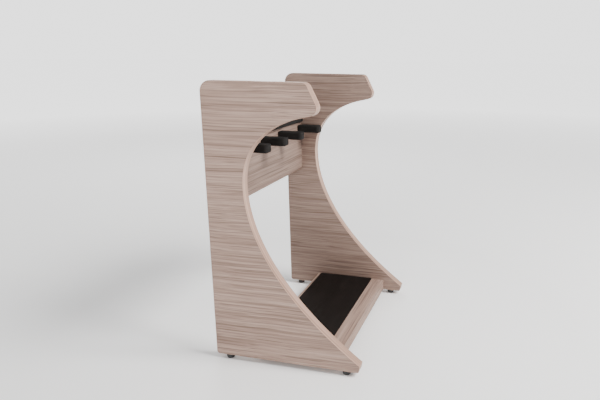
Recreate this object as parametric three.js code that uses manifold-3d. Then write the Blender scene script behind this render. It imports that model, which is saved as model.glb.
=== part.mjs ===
// Guitar rack: two curved side panels joined by a base board and a high back board.
// Four foam-covered fingers on the back board keep the guitar necks apart.
// Millimetres, +X to the right, +Y to the rear, +Z up. The origin is on the floor under
// the middle of the rack's bounding box.

import * as THREE from 'three';
import { mergeVertices } from 'three/addons/utils/BufferGeometryUtils.js';
import Module from 'manifold-3d';

const wasm = await Module();
wasm.setup();

// ---- driving dimensions ------------------------------------------------------------

// carcass
const rackWidth = 650;
const panelHeight = 933;
const panelReach = 513.5;      // rear edge to the nose of the foot
const panelThickness = 32;
const bandThickness = 1;
const gap = 0.3;               // between glued or resting faces

// side panel outline, rear edge at y = 0, heights from the panel's lower edge
const rearBottomRadius = 10;
const rearTopRadius = 36;
const armReach = 349.6;        // rear edge to the corner above the slanted arm front
const armTipReach = 394.4;     // rear edge to the tip corner under it
const armTipDrop = 92.5;       // top edge to the tip corner
const armNoseRadius = 22;
const armTipRadius = 26;
const undersideAngle = 12.9;   // arm underside, degrees from level, falling to the rear
const undersideReach = 331;    // where the straight underside turns into the curve
const undersidePull = 138;     // curve handles
const waistReach = 130;        // rear edge to the rearmost point of the curve
const waistDrop = 333;         // top edge to that point
const waistPullUp = 115;
const waistPullDown = 195;
const footRise = 23.6;         // height of the foot's nose corner
const footUndercut = 4.9;      // how far the foot's front face leans back at the floor
const footNoseRadius = 4;
const footToeRadius = 7;
const footSlope = 37;          // top of the foot, degrees from level
const footRun = 8;             // straight stretch behind the nose
const footPull = 285;

// base board and its pad
const baseSetback = 78.8;      // foot nose to the board's front face
const baseDepth = 300;
const baseThickness = 43.3;
const baseLift = 0.5;          // panel's lower edge to the board's underside
const padSetback = 53;         // bare wood in front of the pad
const padRearInset = 12;
const padThickness = 4;

// back board, hung from the panels' top edge
const boardInset = 36;         // rear edge to the board's rear face
const boardThickness = 32;
const boardDrop = 85.5;        // top edge to the board's top
const boardHeight = 320;

// neck fingers and bumper strip
const slotWidths = [76, 99, 102.5];   // free widths, left panel to third finger
const fingerWidth = 41;
const fingerHeight = 30;
const fingerLength = 95;
const fingerDrop = 214;        // top edge to the fingers' upper face
const fingerTipRadius = 11;
const foamWall = 8;
const bumperRise = 12;         // fingers' upper face to the strip
const bumperHeight = 64;
const bumperThickness = 10;

// feet
const footHeight = 17;
const footRadius = 14;
const footSoleRadius = 11.5;
const rearFootInset = 43;      // rear edge to the foot's axis
const frontFootInset = 49.5;   // foot nose to the foot's axis
const studRadius = 4;
const studRise = 30;           // stud above the panel's lower edge
const studDiscRadius = 6.3;
const studDiscHeight = 3.6;
const socketFloor = 4.4;       // thickness of the foot under the stud's disc
const insertRadius = 6;
const insertLength = 18;
const threadClearance = 0.2;
const socketClearance = 0.3;

// board fittings
const camRadius = 7.5;
const camHeight = 12.5;
const camFromEnd = 24;         // board end to the cam's axis
const camFromEdge = 60;        // board's long edge to the cam's axis
const boltDepth = 9.5;         // cam's open face to the bolt's axis
const boltShankRadius = 2.5;
const boltHeadRadius = 3.2;
const boltHeadLength = 3;
const boltThreadRadius = 3;
const boltThreadLength = 11;
const dowelRadius = 4;
const dowelInBoard = 20;
const dowelInPanel = 15;
const screwRadius = 2.5;
const screwHeadRadius = 5;
const screwHeadDepth = 3;
const screwInCore = 42;
const holeClearance = 0.4;     // radial, round every fitting that sits in wood

// ---- values that follow ------------------------------------------------------------

const innerHalf = rackWidth / 2 - panelThickness;
const boardHalf = innerHalf - gap;
const boardTop = panelHeight - boardDrop;
const boardBottom = boardTop - boardHeight;
const boardFront = -boardInset - boardThickness;
const baseFront = -panelReach + baseSetback;
const baseRear = baseFront + baseDepth;
const baseTop = baseLift + baseThickness;
const fingerTop = panelHeight - fingerDrop;
const fingerMiddle = fingerTop - fingerHeight / 2;
const cornerSteps = 6;
const curveSteps = 28;
const roundSides = 16;

// ---- materials ---------------------------------------------------------------------

const finishes = {
  laminate: { color: '#a99a90', roughness: 0.62, metalness: 0 },
  band: { color: '#c4ac9d', roughness: 0.5, metalness: 0 },
  core: { color: '#b99f7c', roughness: 0.8, metalness: 0 },
  foam: { color: '#262423', roughness: 0.95, metalness: 0 },
  pad: { color: '#27211f', roughness: 0.9, metalness: 0 },
  footPlastic: { color: '#2b2a29', roughness: 0.55, metalness: 0 },
  steel: { color: '#b4b4b0', roughness: 0.35, metalness: 1 },
  zinc: { color: '#9a9a98', roughness: 0.45, metalness: 1 },
};

function piece(name, finish, geometry) {
  const material = new THREE.MeshStandardMaterial(finishes[finish]);
  const mesh = new THREE.Mesh(geometry, material);
  mesh.name = name;
  return mesh;
}

// ---- solids ------------------------------------------------------------------------

function solid(geometry) {
  const bare = geometry.index ? geometry.toNonIndexed() : geometry.clone();
  bare.deleteAttribute('normal');
  bare.deleteAttribute('uv');
  const merged = mergeVertices(bare, 1e-4);
  const vertProperties = new Float32Array(merged.attributes.position.array);
  const triVerts = new Uint32Array(merged.index.array);
  return new wasm.Manifold(new wasm.Mesh({ numProp: 3, vertProperties, triVerts }));
}

function fromSolid(manifold) {
  const mesh = manifold.getMesh();
  const geometry = new THREE.BufferGeometry();
  geometry.setAttribute('position', new THREE.BufferAttribute(mesh.vertProperties, 3));
  geometry.setIndex(new THREE.BufferAttribute(mesh.triVerts, 1));
  return geometry;
}

function cut(geometry, tools) {
  let body = solid(geometry);
  for (const tool of tools) {
    body = body.subtract(solid(tool));
  }
  return fromSolid(body);
}

// Box given by its lowest and highest corners.
function block(low, high) {
  const size = high.map((value, i) => value - low[i]);
  const box = new THREE.BoxGeometry(size[0], size[1], size[2]);
  box.translate(low[0] + size[0] / 2, low[1] + size[1] / 2, low[2] + size[2] / 2);
  return box;
}

const turns = {
  x: new THREE.Matrix4().makeRotationZ(-Math.PI / 2),
  y: new THREE.Matrix4(),
  z: new THREE.Matrix4().makeRotationX(Math.PI / 2),
};

// Round rod from one point along an axis; a negative length runs the other way.
function rod(radius, from, axis, length, sides = roundSides) {
  const geometry = new THREE.CylinderGeometry(radius, radius, Math.abs(length), sides);
  geometry.applyMatrix4(turns[axis]);
  const middle = new THREE.Vector3(...from);
  middle[axis] += length / 2;
  geometry.translate(middle.x, middle.y, middle.z);
  return geometry;
}

// Turned shape: profile points are [radius, distance along the axis]; the profile runs
// from one end of the axis to the other.
function turned(profile, sides = roundSides) {
  const points = profile.map(([radius, along]) => new THREE.Vector2(radius, along));
  return new THREE.LatheGeometry(points, sides);
}

// ---- side panel outline ------------------------------------------------------------

// Arc that rounds the corner between two straight edges.
function roundedCorner(before, corner, after, radius) {
  const back = before.clone().sub(corner).normalize();
  const ahead = after.clone().sub(corner).normalize();
  const half = Math.acos(back.dot(ahead)) / 2;
  const centre = back.clone().add(ahead).normalize()
    .multiplyScalar(radius / Math.sin(half)).add(corner);
  const start = back.multiplyScalar(radius / Math.tan(half)).add(corner).sub(centre);
  const sweep = Math.PI - 2 * half;
  const points = [];
  for (let i = 0; i <= cornerSteps; i += 1) {
    const arm = start.clone().rotateAround(new THREE.Vector2(), (sweep * i) / cornerSteps);
    points.push(arm.add(centre));
  }
  return points;
}

function direction(degrees) {
  const angle = THREE.MathUtils.degToRad(degrees);
  return new THREE.Vector2(Math.cos(angle), Math.sin(angle));
}

// Outline of a side panel as [y, z] points, anticlockwise with y to the right. It goes up
// the rear edge, forward over the arm, down the concave front and back along the foot.
function panelOutline() {
  const rearBottom = new THREE.Vector2(0, 0);
  const rearTop = new THREE.Vector2(0, panelHeight);
  const armNose = new THREE.Vector2(-armReach, panelHeight);
  const armTip = new THREE.Vector2(-armTipReach, panelHeight - armTipDrop);
  const inward = direction(-undersideAngle);
  const undersideRun = (armTipReach - undersideReach) / inward.x;
  const undersideEnd = armTip.clone().addScaledVector(inward, undersideRun);
  const waist = new THREE.Vector2(-waistReach, panelHeight - waistDrop);
  const nose = new THREE.Vector2(-panelReach, footRise);
  const toe = new THREE.Vector2(-panelReach + footUndercut, 0);
  const upFoot = direction(footSlope);
  const footEnd = nose.clone().addScaledVector(upFoot, footRun);
  const upperCurve = new THREE.CubicBezierCurve(
    undersideEnd,
    undersideEnd.clone().addScaledVector(inward, undersidePull),
    waist.clone().setY(waist.y + waistPullUp),
    waist,
  );
  const lowerCurve = new THREE.CubicBezierCurve(
    waist,
    waist.clone().setY(waist.y - waistPullDown),
    footEnd.clone().addScaledVector(upFoot, footPull),
    footEnd,
  );
  return [
    ...roundedCorner(toe, rearBottom, rearTop, rearBottomRadius),
    ...roundedCorner(rearBottom, rearTop, armNose, rearTopRadius),
    ...roundedCorner(rearTop, armNose, armTip, armNoseRadius),
    ...roundedCorner(armNose, armTip, undersideEnd, armTipRadius),
    ...upperCurve.getPoints(curveSteps),
    ...lowerCurve.getPoints(curveSteps).slice(1),
    ...roundedCorner(footEnd, nose, toe, footNoseRadius),
    ...roundedCorner(nose, toe, rearBottom, footToeRadius),
  ];
}

// The same outline moved inwards: every side shifts by the distance along its normal and
// each point goes where its two shifted sides meet.
function insetOutline(points, distance) {
  const count = points.length;
  return points.map((point, i) => {
    const before = point.clone().sub(points[(i + count - 1) % count]).normalize();
    const after = points[(i + 1) % count].clone().sub(point).normalize();
    const normal = new THREE.Vector2(-before.y - after.y, before.x + after.x).normalize();
    const spread = Math.sqrt((1 + before.dot(after)) / 2);
    return point.clone().addScaledVector(normal, distance / spread);
  });
}

const profileToRack = new THREE.Matrix4().makeBasis(
  new THREE.Vector3(0, 1, 0),
  new THREE.Vector3(0, 0, 1),
  new THREE.Vector3(1, 0, 0),
);

// A [y, z] outline given thickness along X, from its inner side at x = start.
function slab(shape, start) {
  const geometry = new THREE.ExtrudeGeometry(shape, {
    depth: panelThickness,
    bevelEnabled: false,
    steps: 1,
  });
  geometry.applyMatrix4(profileToRack);
  geometry.translate(start, 0, 0);
  return geometry;
}

// ---- where the fittings sit --------------------------------------------------------

const sides = [
  { name: 'left', sign: -1 },
  { name: 'right', sign: 1 },
];

// Feet, two under each panel.
const footPlaces = sides.flatMap(({ name, sign }) => [
  { name: `front_${name}`, x: sign * (rackWidth - panelThickness) / 2, y: -panelReach + frontFootInset },
  { name: `rear_${name}`, x: sign * (rackWidth - panelThickness) / 2, y: -rearFootInset },
]);

// Cams: those of the base board open downwards, those of the back board to the rear.
const baseCamLevel = baseLift + boltDepth;
const boardCamLevel = -boardInset - boltDepth;
const camPlaces = sides.flatMap(({ name, sign }) => [
  { name: `base_front_${name}`, sign, face: 'z', y: baseFront + camFromEdge, z: baseCamLevel },
  { name: `base_rear_${name}`, sign, face: 'z', y: baseRear - camFromEdge, z: baseCamLevel },
  { name: `back_lower_${name}`, sign, face: 'y', y: boardCamLevel, z: boardBottom + camFromEdge },
  { name: `back_upper_${name}`, sign, face: 'y', y: boardCamLevel, z: boardTop - camFromEdge },
]);

const dowelPlaces = sides.flatMap(({ name, sign }) => [
  { name: `base_${name}`, sign, y: (baseFront + baseRear) / 2, z: baseLift + baseThickness / 2 },
  { name: `back_${name}`, sign, y: boardFront + boardThickness / 2, z: (boardBottom + boardTop) / 2 },
]);

// Finger axes, from the left panel by the free widths; the last stands by the right panel.
const fingerPlaces = slotWidths.map((width, i) => {
  const free = slotWidths.slice(0, i + 1).reduce((sum, value) => sum + value, 0);
  return -innerHalf + free + fingerWidth * (i + 0.5);
});
fingerPlaces.push(innerHalf - gap - fingerWidth / 2);

// ---- side panels and their edge bands ----------------------------------------------

// Holes in one side panel: blind bores for bolts and dowels in the inner face, and a bore
// for each foot's insert and stud in the lower edge.
function panelBores(sign) {
  const bores = [];
  for (const cam of camPlaces.filter((place) => place.sign === sign)) {
    const from = [sign * (innerHalf - gap), cam.y, cam.z];
    bores.push(rod(boltThreadRadius + holeClearance, from, 'x', sign * (boltThreadLength + 2)));
  }
  for (const dowel of dowelPlaces.filter((place) => place.sign === sign)) {
    const from = [sign * (innerHalf - gap), dowel.y, dowel.z];
    bores.push(rod(dowelRadius + holeClearance, from, 'x', sign * (dowelInPanel + 2)));
  }
  for (const foot of footPlaces.filter((place) => Math.sign(place.x) === sign)) {
    const from = [foot.x, foot.y, -2 * bandThickness];
    bores.push(rod(insertRadius + holeClearance, from, 'z', studRise + 4 + 2 * bandThickness));
  }
  return bores;
}

function sidePanel({ name, sign }, outline) {
  const start = sign > 0 ? innerHalf : -rackWidth / 2;
  const core = insetOutline(outline, bandThickness + gap);
  const board = slab(new THREE.Shape(core), start);
  return piece(`side_panel_${name}`, 'laminate', cut(board, panelBores(sign)));
}

function edgeBand({ name, sign }, outline) {
  const start = sign > 0 ? innerHalf : -rackWidth / 2;
  const ring = new THREE.Shape(outline);
  ring.holes.push(new THREE.Path(insetOutline(outline, bandThickness)));
  const feet = panelBores(sign).slice(-2);
  return piece(`edge_band_${name}`, 'band', cut(slab(ring, start), feet));
}

// ---- boards ------------------------------------------------------------------------

// Pocket for the cam and bore for its bolt.
function camPocket(cam) {
  const axisX = cam.sign * (boardHalf - camFromEnd);
  const pocket = camRadius + holeClearance;
  const boltFrom = [axisX, cam.y, cam.z];
  const boltBore = rod(boltHeadRadius + 2 * holeClearance, boltFrom, 'x', cam.sign * (camFromEnd + 2));
  const inBoard = camHeight - boltDepth + holeClearance;
  const camBore = cam.face === 'z'
    ? rod(pocket, [axisX, cam.y, cam.z + inBoard], 'z', -(camHeight + 4))
    : rod(pocket, [axisX, cam.y - inBoard, cam.z], 'y', camHeight + 4);
  return [camBore, boltBore];
}

function dowelBore(dowel) {
  const from = [dowel.sign * (boardHalf - dowelInBoard - 2), dowel.y, dowel.z];
  return rod(dowelRadius + holeClearance, from, 'x', dowel.sign * (dowelInBoard + 4));
}

function fittingBores(board) {
  const cams = camPlaces.filter((place) => place.name.startsWith(board)).flatMap(camPocket);
  const dowels = dowelPlaces.filter((place) => place.name.startsWith(board)).map(dowelBore);
  return [...cams, ...dowels];
}

function baseParts() {
  const band = bandThickness + gap;
  const board = block(
    [-boardHalf, baseFront + band, baseLift],
    [boardHalf, baseRear - band, baseTop],
  );
  const frontBand = block(
    [-boardHalf, baseFront, baseLift],
    [boardHalf, baseFront + bandThickness, baseTop],
  );
  const rearBand = block(
    [-boardHalf, baseRear - bandThickness, baseLift],
    [boardHalf, baseRear, baseTop],
  );
  const pad = block(
    [-boardHalf + 1, baseFront + padSetback, baseTop + gap],
    [boardHalf - 1, baseRear - padRearInset, baseTop + gap + padThickness],
  );
  return [
    piece('base_board', 'laminate', cut(board, fittingBores('base'))),
    piece('base_band_front', 'band', frontBand),
    piece('base_band_rear', 'band', rearBand),
    piece('base_pad', 'pad', pad),
  ];
}

// Clearance hole and countersink for each finger's screw, from the board's rear face.
function screwBores(x) {
  const rear = [x, -boardInset + 1, fingerMiddle];
  const through = rod(screwRadius + holeClearance, rear, 'y', -(boardThickness + 2));
  const sink = turned([
    [0, -screwHeadDepth - 1],
    [screwRadius, -screwHeadDepth - 1],
    [screwHeadRadius + 2 * holeClearance, 0],
    [screwHeadRadius + 2 * holeClearance, 1],
    [0, 1],
  ]);
  sink.translate(x, -boardInset, fingerMiddle);
  return [through, sink];
}

function backParts() {
  const band = bandThickness + gap;
  const rear = -boardInset;
  const board = block([-boardHalf, boardFront, boardBottom + band], [boardHalf, rear, boardTop - band]);
  const topBand = block([-boardHalf, boardFront, boardTop - bandThickness], [boardHalf, rear, boardTop]);
  const lowBand = block([-boardHalf, boardFront, boardBottom], [boardHalf, rear, boardBottom + bandThickness]);
  const stripBottom = fingerTop + bumperRise;
  const strip = block(
    [-boardHalf + 1, boardFront - gap - bumperThickness, stripBottom],
    [boardHalf - 1, boardFront - gap, stripBottom + bumperHeight],
  );
  const bores = [...fittingBores('back'), ...fingerPlaces.flatMap(screwBores)];
  return [
    piece('back_board', 'laminate', cut(board, bores)),
    piece('back_band_top', 'band', topBand),
    piece('back_band_bottom', 'band', lowBand),
    piece('neck_bumper', 'foam', strip),
  ];
}

// ---- neck fingers ------------------------------------------------------------------

// Foam cover: a bar whose tip corners are rounded in plan, hollow for its core.
function fingerFoam(x) {
  const half = fingerWidth / 2;
  const tip = boardFront - fingerLength;
  const rear = boardFront - gap;
  const corners = [[-half, rear], [-half, tip], [half, tip], [half, rear]]
    .map(([u, v]) => new THREE.Vector2(u, v));
  const plan = new THREE.Shape([
    corners[0],
    ...roundedCorner(corners[0], corners[1], corners[2], fingerTipRadius),
    ...roundedCorner(corners[1], corners[2], corners[3], fingerTipRadius),
    corners[3],
  ]);
  const bar = new THREE.ExtrudeGeometry(plan, { depth: fingerHeight, bevelEnabled: false, steps: 1 });
  bar.translate(x, 0, fingerTop - fingerHeight);
  const hollow = block(
    [x - half + foamWall, tip + foamWall, fingerTop - fingerHeight + foamWall],
    [x + half - foamWall, rear + 5, fingerTop - foamWall],
  );
  return cut(bar, [hollow]);
}

function fingerCore(x) {
  const half = fingerWidth / 2 - foamWall - gap;
  const core = block(
    [x - half, boardFront - fingerLength + foamWall + gap, fingerTop - fingerHeight + foamWall + gap],
    [x + half, boardFront - gap, fingerTop - foamWall - gap],
  );
  const from = [x, boardFront, fingerMiddle];
  return cut(core, [rod(screwRadius + holeClearance, from, 'y', -(screwInCore + 2))]);
}

// Countersunk screw with a cross recess, its head flush with the board's rear face.
function fingerScrew(x) {
  const length = boardThickness + screwInCore;
  const screw = turned([
    [0, -length],
    [screwRadius, -length + 2 * screwRadius],
    [screwRadius, -screwHeadDepth],
    [screwHeadRadius, 0],
    [0, 0],
  ]);
  const slot = screwHeadRadius * 0.55;
  const blade = 0.6;
  const recess = [
    block([-slot, -screwHeadDepth / 2, -blade], [slot, 1, blade]),
    block([-blade, -screwHeadDepth / 2, -slot], [blade, 1, slot]),
  ];
  const geometry = cut(screw, recess);
  geometry.translate(x, -boardInset, fingerMiddle);
  return geometry;
}

function fingers() {
  return fingerPlaces.flatMap((x, i) => [
    piece(`finger_foam_${i + 1}`, 'foam', fingerFoam(x)),
    piece(`finger_core_${i + 1}`, 'core', fingerCore(x)),
    piece(`finger_screw_${i + 1}`, 'zinc', fingerScrew(x)),
  ]);
}

// ---- feet --------------------------------------------------------------------------

// Moulded foot with an undercut socket that keeps the stud's disc. Heights from the floor.
function footPad() {
  const bore = studRadius + 2 * socketClearance;
  const socket = studDiscRadius + socketClearance;
  const ceiling = socketFloor + studDiscHeight + 2 * socketClearance;
  const top = footHeight - gap;
  const geometry = turned([
    [0, 0],
    [footSoleRadius, 0],
    [footSoleRadius + 1.4, 1.2],
    [footRadius - 0.3, 4.4],
    [footRadius, 7],
    [footRadius, top - 1],
    [footRadius - 1, top],
    [bore, top],
    [bore, ceiling],
    [socket, ceiling],
    [socket, socketFloor],
    [0, socketFloor],
  ], 24);
  geometry.applyMatrix4(turns.z);
  return geometry;
}

// Threaded stud with the disc that the foot is moulded round.
function footStud() {
  const low = socketFloor + socketClearance;
  const top = footHeight + studRise;
  const geometry = turned([
    [0, low],
    [studDiscRadius, low],
    [studDiscRadius, low + studDiscHeight],
    [studRadius, low + studDiscHeight],
    [studRadius, top - 1],
    [studRadius - 1, top],
    [0, top],
  ]);
  geometry.applyMatrix4(turns.z);
  return geometry;
}

// Threaded sleeve let into the panel's lower edge.
function footInsert() {
  const bore = studRadius + threadClearance;
  const low = footHeight + gap;
  const geometry = turned([
    [bore, low],
    [insertRadius, low],
    [insertRadius, low + insertLength],
    [bore, low + insertLength],
    [bore, low],
  ]);
  geometry.applyMatrix4(turns.z);
  return geometry;
}

function feet() {
  const makers = { foot_pad: footPad, foot_stud: footStud, foot_insert: footInsert };
  const looks = { foot_pad: 'footPlastic', foot_stud: 'steel', foot_insert: 'zinc' };
  return footPlaces.flatMap((place) => Object.keys(makers).map((kind) => {
    const mesh = piece(`${kind}_${place.name}`, looks[kind], makers[kind]());
    mesh.position.set(place.x, place.y, -footHeight);
    return mesh;
  }));
}

// ---- cams, bolts and dowels --------------------------------------------------------

// Cam disc, axis along Z with its open face at z = 0 and the bolt's side towards +X.
function camDisc() {
  const disc = rod(camRadius, [0, 0, 0], 'z', camHeight);
  const mouth = boltHeadRadius + holeClearance;
  const hollow = rod(mouth, [-mouth, 0, boltDepth], 'x', camRadius + mouth + 2);
  const slot = camRadius * 0.5;
  const blade = 0.7;
  const cross = [
    block([-slot, -blade, -1], [slot, blade, 3]),
    block([-blade, -slot, -1], [blade, slot, 3]),
  ];
  return cut(disc, [hollow, ...cross]);
}

// Cam bolt along +X: head at the cam's middle, thread in the side panel.
function camBolt() {
  const seam = camFromEnd + gap;
  const geometry = turned([
    [0, -boltHeadLength / 2],
    [boltHeadRadius, -boltHeadLength / 2],
    [boltHeadRadius, boltHeadLength / 2],
    [boltShankRadius, boltHeadLength / 2],
    [boltShankRadius, seam],
    [boltThreadRadius, seam],
    [boltThreadRadius, seam + boltThreadLength],
    [0, seam + boltThreadLength],
  ]);
  geometry.rotateZ(-Math.PI / 2);
  return geometry;
}

function camFittings() {
  return camPlaces.flatMap((cam) => {
    const axisX = cam.sign * (boardHalf - camFromEnd);
    const turn = cam.sign > 0 ? 0 : Math.PI;
    const disc = piece(`cam_${cam.name}`, 'zinc', camDisc());
    disc.position.set(axisX, cam.y, cam.z);
    if (cam.face === 'z') {
      disc.rotation.z = turn;
      disc.position.z -= boltDepth;
    } else {
      disc.rotation.order = 'YXZ';
      disc.rotation.set(Math.PI / 2, turn, 0);
      disc.position.y += boltDepth;
    }
    const bolt = piece(`cam_bolt_${cam.name}`, 'steel', camBolt());
    bolt.position.set(axisX, cam.y, cam.z);
    bolt.rotation.z = turn;
    return [disc, bolt];
  });
}

function dowels() {
  return dowelPlaces.map((dowel) => {
    const from = [dowel.sign * (boardHalf - dowelInBoard), dowel.y, dowel.z];
    const length = dowel.sign * (dowelInBoard + gap + dowelInPanel);
    return piece(`dowel_${dowel.name}`, 'core', rod(dowelRadius, from, 'x', length, 16));
  });
}

// ---- assembly ----------------------------------------------------------------------

// The rack's own frame has the rear edges at y = 0 and the panels' lower edges at z = 0.
const outline = panelOutline();
const noseReach = Math.min(...outline.map((point) => point.x));
const rack = new THREE.Group();
rack.position.set(0, -noseReach / 2, footHeight);
for (const side of sides) {
  rack.add(sidePanel(side, outline), edgeBand(side, outline));
}
rack.add(...baseParts(), ...backParts(), ...fingers(), ...feet(), ...camFittings(), ...dowels());

const group = new THREE.Group();
group.add(rack);

export default group;
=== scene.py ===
"""Looks of a guitar rack: two curved side panels, a padded base board and a back board
whose foam-covered fingers keep the guitars' necks apart. Metres, +Z up, front at -Y."""

import math

import bpy
import numpy as np
from bpy.props import FloatProperty, FloatVectorProperty, PointerProperty
from mathutils import Matrix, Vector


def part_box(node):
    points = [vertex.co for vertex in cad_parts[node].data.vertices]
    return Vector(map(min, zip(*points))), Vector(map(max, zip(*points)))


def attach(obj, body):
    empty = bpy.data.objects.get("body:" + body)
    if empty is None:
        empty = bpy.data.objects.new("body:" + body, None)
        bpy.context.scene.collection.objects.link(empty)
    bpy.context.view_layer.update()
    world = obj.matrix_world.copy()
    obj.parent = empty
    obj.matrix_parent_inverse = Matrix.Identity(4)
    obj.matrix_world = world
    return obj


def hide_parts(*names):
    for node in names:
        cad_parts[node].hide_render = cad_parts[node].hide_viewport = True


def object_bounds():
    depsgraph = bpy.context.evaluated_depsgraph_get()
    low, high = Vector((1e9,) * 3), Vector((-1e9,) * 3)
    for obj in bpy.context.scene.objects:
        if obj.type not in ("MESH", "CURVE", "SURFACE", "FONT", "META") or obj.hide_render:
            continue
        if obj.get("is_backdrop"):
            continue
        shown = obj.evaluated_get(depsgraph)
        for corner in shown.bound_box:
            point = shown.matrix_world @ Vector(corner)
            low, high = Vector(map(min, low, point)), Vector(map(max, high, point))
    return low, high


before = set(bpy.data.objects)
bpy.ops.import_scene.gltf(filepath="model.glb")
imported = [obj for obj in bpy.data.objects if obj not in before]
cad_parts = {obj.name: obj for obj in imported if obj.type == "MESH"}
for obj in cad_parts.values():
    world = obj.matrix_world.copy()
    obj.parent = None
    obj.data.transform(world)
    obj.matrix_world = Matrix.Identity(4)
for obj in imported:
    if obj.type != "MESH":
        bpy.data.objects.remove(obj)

bl_info = {
    "name": "Guitar Rack",
    "version": (1, 0, 0),
    "blender": (4, 5, 0),
    "location": "3D View > Sidebar > Guitar Rack",
    "description": "Builds the finished surfaces and the studio of a guitar rack",
    "category": "Object",
}

MM = 0.001
SIDES = ("left", "right")
FEET = ("front_left", "rear_left", "front_right", "rear_right")
FINGERS = (1, 2, 3, 4)

PANEL_PAINTED_SHADE_AND_SEED = {"left": (1.0, 3.1), "right": (0.81, 5.4)}  # painted shade of the laminate (the right panel darkened for the shade on its inner face), the grain's offset
# Painted shade: the back board's laminate is darkened for the shade it lies in.
BACK_BOARD_PAINTED_SHADE = 0.62
BASE_BOARD_SHADE = 0.98
BEECH = ((0.36, 0.23, 0.12), (0.50, 0.34, 0.19), (0.62, 0.45, 0.27))

FLOOR_RADIUS = 60.0
FLOOR_GLOW = 1.7
GLOW_START, GLOW_END = 1.0, 8.0
BACKDROP_RADIUS = 59.0
BACKDROP_GLOW = 2.3
BACKDROP_SINK = 0.5
WORLD_LIGHT = 0.62
LAMPS = {  # offset from the rack's middle, disc size in metres, watts, colour
    "key": ((-0.35, -3.1, 3.0), 1.8, 340.0, (1.0, 0.985, 0.965)),
    "fill": ((-3.6, -0.1, 0.5), 1.5, 56.0, (1.0, 0.995, 0.985)),
    "rim": ((2.8, 2.0, 2.2), 1.8, 60.0, (1.0, 1.0, 1.0)),
}
CAMERA_ANGLES = (-77.68, 12.31, 0.75)  # azimuth, elevation and roll in degrees
CAMERA_PLACE = (-1.77549, -0.69869, 1.04098)
CAMERA_LENS = 31.24
CAMERA_SHIFT = (-0.1668, -0.0569)


# ---- settings ----------------------------------------------------------------------


def length(name, description, default):
    """A length in metres with a name and a description."""
    return FloatProperty(
        name=name, description=description, default=default, min=0.0,
        unit="LENGTH", subtype="DISTANCE", precision=4,
    )


def colour(name, description, default):
    """A colour given in linear light."""
    return FloatVectorProperty(
        name=name, description=description, default=default, size=3,
        min=0.0, max=1.0, subtype="COLOR",
    )


class RackOutline(bpy.types.PropertyGroup):
    """Sizes of a side panel's outline, measured from its rear edge and its lower edge."""

    reach: length("Reach", "Rear edge to the foot's nose corner", 0.5135)
    height: length("Height", "Lower edge to upper edge", 0.933)
    arm_reach: length("Arm reach", "Rear edge to the arm's upper corner", 0.3496)
    tip_reach: length("Tip reach", "Rear edge to the arm's lower corner", 0.3944)
    tip_drop: length("Tip drop", "Upper edge to the arm's lower corner", 0.0925)
    underside_reach: length("Underside reach", "Rear edge to the curve's upper end", 0.331)
    underside_pull: length("Underside pull", "Curve handle along the arm", 0.138)
    waist_reach: length("Waist reach", "Rear edge to the rearmost point of the curve", 0.13)
    waist_drop: length("Waist drop", "Upper edge to that point", 0.333)
    waist_pull_up: length("Upper waist pull", "Curve handle above the waist", 0.115)
    waist_pull_down: length("Lower waist pull", "Curve handle below the waist", 0.195)
    foot_rise: length("Foot rise", "Height of the foot's nose corner", 0.0236)
    foot_undercut: length("Foot undercut", "Lean of the foot's front face", 0.0049)
    foot_run: length("Foot run", "Straight stretch behind the nose", 0.008)
    foot_pull: length("Foot pull", "Curve handle above the foot", 0.285)
    band_thickness: length("Band thickness", "Edge band, from the outline inwards", 0.00115)
    band_arris: length("Band arris", "Rounding of the band's long edges", 0.0007)
    underside_angle: FloatProperty(
        name="Underside angle", description="Arm underside below level",
        default=math.radians(12.9), subtype="ANGLE",
    )
    foot_angle: FloatProperty(
        name="Foot angle", description="Top of the foot above level",
        default=math.radians(37.0), subtype="ANGLE",
    )


class RackSoft(bpy.types.PropertyGroup):
    """Roundings of the foam, the pad and the feet."""

    wall: length("Foam wall", "Thickness of the foam on a finger", 0.008)
    tip_radius: length("Tip radius", "Rounding of a finger's tip seen from above", 0.011)
    edge_radius: length("Edge radius", "Rounding of a finger's long edges", 0.0055)
    strip_radius: length("Strip radius", "Rounding of the neck strip's edges", 0.0035)
    strip_crown: length("Strip crown", "How far the neck strip's face swells", 0.0008)
    pad_corner: length("Pad corner", "Rounding of the base pad's corners", 0.005)
    stud_radius: length("Stud radius", "Radius of the feet's studs", 0.004)
    thread_pitch: length("Thread pitch", "Pitch of the feet's studs", 0.00125)
    thread_depth: length("Thread depth", "Depth of the studs' thread", 0.0007)


class RackColours(bpy.types.PropertyGroup):
    """Colours of the finishes."""

    wood_dark: colour("Dark grain", "Darkest streaks of the laminate", (0.165, 0.101, 0.077))
    wood_mid: colour("Middle grain", "Body of the laminate", (0.302, 0.202, 0.160))
    wood_light: colour("Light grain", "Lightest streaks of the laminate", (0.455, 0.328, 0.270))
    band_dark: colour("Band shade", "Darker lines of the edge band", (0.225, 0.128, 0.090))
    band_light: colour("Band light", "Lighter lines of the edge band", (0.490, 0.318, 0.242))
    foam: colour("Foam", "Foam of the fingers and the strip", (0.0085, 0.0075, 0.0070))
    pad: colour("Pad", "Pad on the base board", (0.0065, 0.0045, 0.0038))
    plastic: colour("Foot", "Moulded feet", (0.016, 0.016, 0.016))
    floor: colour("Floor", "Studio floor", (0.93, 0.93, 0.93))


class RackSettings(bpy.types.PropertyGroup):
    """All settings of the rack."""

    outline: PointerProperty(type=RackOutline)
    soft: PointerProperty(type=RackSoft)
    colours: PointerProperty(type=RackColours)


# ---- surfaces ----------------------------------------------------------------------


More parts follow.
